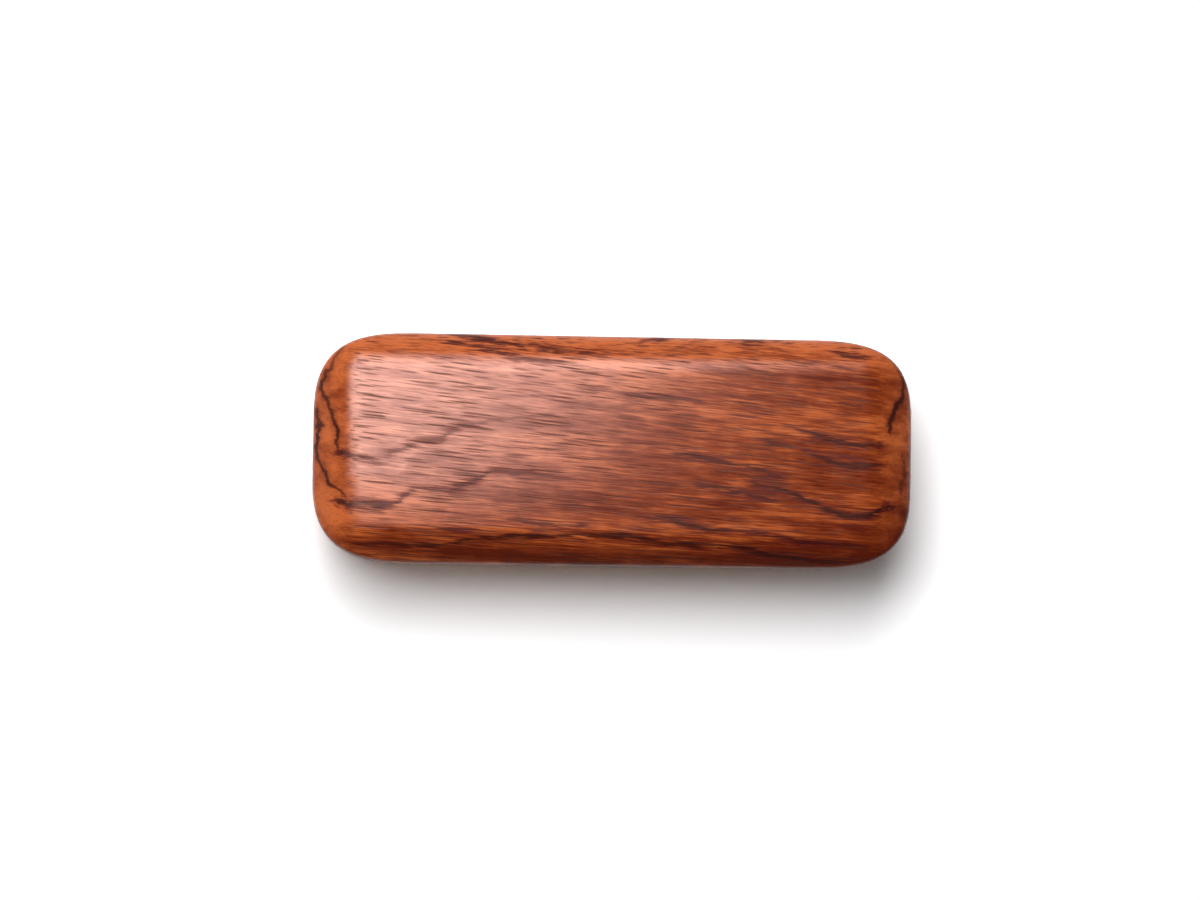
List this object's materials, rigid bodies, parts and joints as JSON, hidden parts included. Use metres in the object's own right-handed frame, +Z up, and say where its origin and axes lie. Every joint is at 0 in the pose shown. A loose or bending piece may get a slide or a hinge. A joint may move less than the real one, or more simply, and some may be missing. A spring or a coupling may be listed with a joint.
{
  "type": "suede crepe brush",
  "caption": "Hand brush for suede: a lacquered hardwood block with rolled edges, and upright leaves of crepe rubber glued side by side into a pocket in its underside.",
  "frame": {"origin": "on the surface that the brush stands on, under the middle of the brush", "axes": "+X along the handle, to the right in the picture; +Y across it, up in the picture; +Z up, out of the handle's top"},
  "size_m": [0.126, 0.0484, 0.036],
  "materials": {
    "lacquered_wood": "red-brown hardwood with dark veins under satin-gloss clear lacquer",
    "crepe_rubber": "natural crepe rubber, honey-coloured, crinkled and slightly translucent",
    "glue": "dried contact glue, amber"
  },
  "bodies": {
    "root": {"handle_block": "lacquered_wood", "glue_bed": "glue", "crepe_strip_1": "crepe_rubber", "crepe_strip_2": "crepe_rubber", "crepe_strip_3": "crepe_rubber", "crepe_strip_4": "crepe_rubber", "crepe_strip_5": "crepe_rubber", "crepe_strip_6": "crepe_rubber", "crepe_strip_7": "crepe_rubber", "crepe_strip_8": "crepe_rubber"}
  },
  "joints": []
}
